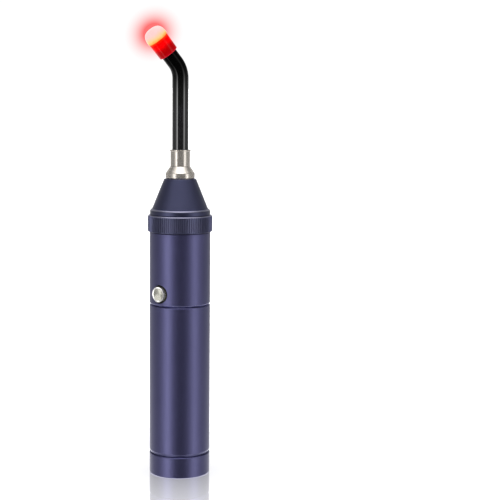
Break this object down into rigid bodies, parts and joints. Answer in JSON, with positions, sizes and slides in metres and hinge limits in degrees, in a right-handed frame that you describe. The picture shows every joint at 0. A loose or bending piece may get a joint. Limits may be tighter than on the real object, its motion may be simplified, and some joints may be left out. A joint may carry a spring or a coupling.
{
  "type": "red light therapy wand",
  "caption": "Cylindrical handheld red light torch with a side push button, knurled front ring, push-on nose cone and a bent light guide that ends in a glowing red tip.",
  "frame": {"origin": "centre of the tail cap's flat base, on the barrel's axis", "axes": "+Z along the barrel towards the light guide, -Y towards the push button"},
  "size_m": [0.0296, 0.0302, 0.2071],
  "materials": {
    "anodised_barrel": "satin purple-blue anodising",
    "satin_nickel": "turned satin nickel plate",
    "bright_button": "turned bright metal",
    "black_sheath": "glossy black",
    "clear_fibre": "clear core",
    "red_acrylic": "translucent red, glossy",
    "glowing_dome": "frosted, lit from behind",
    "black_rubber": "matte",
    "black_nylon": "matte moulded",
    "bare_steel": "satin",
    "yellow_brass": "turned",
    "gold_spring": "plated wire",
    "green_board": "solder mask",
    "white_board": "matte",
    "cell_wrap": "plain shrink wrap",
    "reflector_mirror": "vacuum-plated",
    "clear_glass": "clear, coated",
    "red_emitter": "clear resin over red emitter",
    "red_lead": "insulated wire"
  },
  "bodies": {
    "barrel": {"battery_tube": "anodised_barrel", "head_tube": "anodised_barrel", "mid_o_ring": "black_rubber", "button_seal": "black_rubber", "tact_switch": "black_nylon", "switch_board": "green_board", "switch_holder": "black_nylon", "driver_board": "green_board", "driver_spring": "gold_spring", "driver_inductor": "black_nylon", "driver_capacitor": "bare_steel", "driver_chip": "black_nylon", "led_heat_sink": "yellow_brass", "led_lead_positive": "red_lead", "led_lead_negative": "black_rubber", "led_board": "white_board", "led_emitter_1": "red_emitter", "led_emitter_2": "red_emitter", "led_emitter_3": "red_emitter", "led_emitter_4": "red_emitter", "led_emitter_5": "red_emitter", "reflector": "reflector_mirror", "front_lens": "clear_glass"},
    "battery": {"battery_cell": "cell_wrap", "battery_positive_cap": "bare_steel", "battery_insulator": "white_board"},
    "tail": {"tail_cap": "anodised_barrel", "tail_contact_board": "green_board", "tail_retaining_ring": "yellow_brass", "tail_o_ring": "black_rubber", "tail_spring": "gold_spring"},
    "button": {"button_cap": "bright_button", "switch_plunger": "black_nylon"},
    "lens_seal": {"lens_o_ring": "black_rubber"},
    "bezel": {"bezel_ring": "anodised_barrel"},
    "cone": {"cone_adapter": "anodised_barrel", "cone_o_ring": "black_rubber", "condenser_lens": "clear_glass", "condenser_retainer": "black_nylon"},
    "guide_seal": {"ferrule_o_ring": "black_rubber"},
    "light_guide": {"ferrule": "satin_nickel", "guide_sheath": "black_sheath", "fibre_core": "clear_fibre"},
    "tip": {"tip_collar": "red_acrylic", "tip_dome": "glowing_dome"}
  },
  "joints": [
    {"name": "tail_feed", "type": "slide", "parent": "barrel", "child": "battery", "axis": [0, 0, -1], "range_m": [0, 0.007]},
    {"name": "tail_turn", "type": "hinge", "parent": "battery", "child": "tail", "pos_m": [0, 0, 0.0095], "axis": [0, 0, -1], "range_deg": [0, 2520]},
    {"name": "button_press", "type": "slide", "parent": "barrel", "child": "button", "axis": [0, 1, 0], "range_m": [0, 0.0008], "stiffness_N_per_m": 800, "springref_m": -0.0005},
    {"name": "bezel_feed", "type": "slide", "parent": "barrel", "child": "lens_seal", "axis": [0, 0, 1], "range_m": [0, 0.0035]},
    {"name": "bezel_turn", "type": "hinge", "parent": "lens_seal", "child": "bezel", "pos_m": [0, 0, 0.1135], "axis": [0, 0, 1], "range_deg": [0, 1260]},
    {"name": "cone_pull", "type": "slide", "parent": "bezel", "child": "cone", "axis": [0, 0, 1], "range_m": [0, 0.03]},
    {"name": "guide_pull", "type": "slide", "parent": "cone", "child": "guide_seal", "axis": [0, 0, 1], "range_m": [0, 0.02]},
    {"name": "guide_turn", "type": "hinge", "parent": "guide_seal", "child": "light_guide", "pos_m": [0, 0, 0.138], "axis": [0, 0, 1], "continuous": true},
    {"name": "tip_pull", "type": "slide", "parent": "light_guide", "child": "tip", "axis": [-0.2954, -0.5557, 0.7771], "range_m": [0, 0.012]}
  ],
  "couplings": [
    {"joint": "tail_feed", "follows": "tail_turn", "m_per_rad": 0.00015915},
    {"joint": "bezel_feed", "follows": "bezel_turn", "m_per_rad": 0.00015915}
  ]
}
